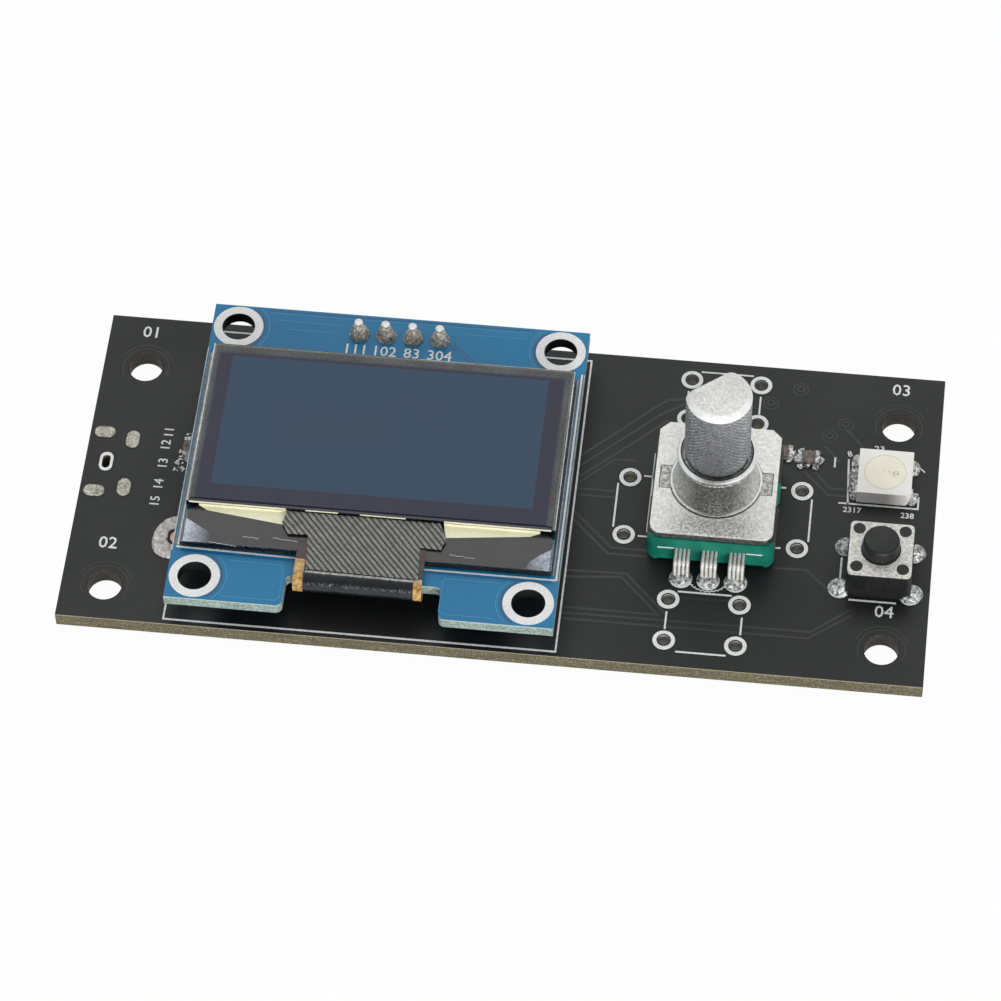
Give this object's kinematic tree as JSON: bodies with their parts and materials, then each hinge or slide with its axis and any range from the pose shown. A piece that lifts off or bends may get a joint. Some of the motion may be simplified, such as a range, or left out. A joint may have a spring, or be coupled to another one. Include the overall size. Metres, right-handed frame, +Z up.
{
  "type": "printer display module",
  "caption": "Long black circuit board carrying a small rectangular display on a pin header, a push-and-turn encoder with a bare D shaft, a push button and one square lamp.",
  "frame": {"origin": "under the middle of the main board, on the surface that the USB socket's shell and the solder tails rest on", "axes": "+X along the board from the USB socket's end to the lamp's end, +Y to the board's back edge where the display's header is, +Z up along the encoder's shaft"},
  "size_m": [0.079, 0.0344, 0.0226],
  "materials": {
    "black_board": "black solder mask over glass-fibre board, olive-brown cut edges",
    "blue_board": "blue solder mask over glass-fibre board, grey-green cut edges",
    "tin": "tinned copper alloy, satin",
    "solder": "solder, slightly wavy and bright",
    "cream_tape": "cream double-sided foam tape",
    "display_glass": "thin display glass over dark layers",
    "polariser": "dark slate polarising film, semi-gloss",
    "black_ceramic": "black epoxy or silicon, smooth",
    "tan_ceramic": "tan fired ceramic",
    "amber_film": "amber polyimide film with copper lines",
    "grey_tape": "grey-olive tape with fine dark stripes",
    "black_plastic": "black moulded plastic, satin",
    "green_plastic": "green moulded phenolic, satin",
    "bright_steel": "bright plated sheet steel",
    "die_cast_zinc": "die-cast zinc alloy, fine sandy skin",
    "grey_shaft": "turned and tumbled metal shaft, satin",
    "white_plastic": "cream-white moulded plastic",
    "lamp_resin": "clear resin over a pale cup",
    "copper": "bare copper"
  },
  "bodies": {
    "root": {"main_board": "black_board", "hole_rings": "tin", "display_board": "blue_board", "display_rings": "tin", "glass_tape": "cream_tape", "rear_glass": "display_glass", "front_glass": "display_glass", "polariser": "polariser", "driver_chip": "black_ceramic", "flex_cable": "amber_film", "cover_tape": "grey_tape", "header_body": "black_plastic", "header_pins": "tin", "header_joints_top": "solder", "header_joints_under": "solder", "display_chip_bodies": "tan_ceramic", "display_chip_ends": "tin", "encoder_base": "green_plastic", "encoder_bracket": "bright_steel", "encoder_bushing": "die_cast_zinc", "detent_spring": "bright_steel", "encoder_dome": "bright_steel", "encoder_front_terminals": "tin", "encoder_rear_terminals": "tin", "encoder_joints": "solder", "button_base": "black_plastic", "button_cover": "bright_steel", "button_dome": "bright_steel", "button_pins": "tin", "button_joints": "solder", "lamp_housing": "white_plastic", "lamp_lens": "lamp_resin", "lamp_dice": "black_ceramic", "lamp_leads": "tin", "top_chip_bodies": "black_ceramic", "top_chip_ends": "tin", "tinned_pad": "solder", "copper_spot": "copper", "socket_shell": "bright_steel", "socket_tongue": "black_plastic", "socket_contacts": "copper", "socket_joints": "solder", "controller_body": "black_plastic", "controller_leads": "tin", "regulator_body": "black_plastic", "regulator_leads": "tin", "under_chip_bodies": "tan_ceramic", "under_chip_ends": "tin"},
    "rotor": {"encoder_rotor": "black_plastic"},
    "shaft": {"encoder_shaft": "grey_shaft"},
    "plunger": {"button_plunger": "black_plastic"}
  },
  "joints": [
    {"name": "encoder_turn", "type": "hinge", "parent": "root", "child": "rotor", "pos_m": [0.0193, 0, 0.007], "axis": [0, 0, 1], "continuous": true},
    {"name": "encoder_push", "type": "slide", "parent": "rotor", "child": "shaft", "axis": [0, 0, 1], "range_m": [-0.0005, 0], "stiffness_N_per_m": 8000, "deforming": ["encoder_dome"]},
    {"name": "button_press", "type": "slide", "parent": "root", "child": "plunger", "axis": [0, 0, 1], "range_m": [-0.00025, 0], "stiffness_N_per_m": 6000, "deforming": ["button_dome"]}
  ]
}
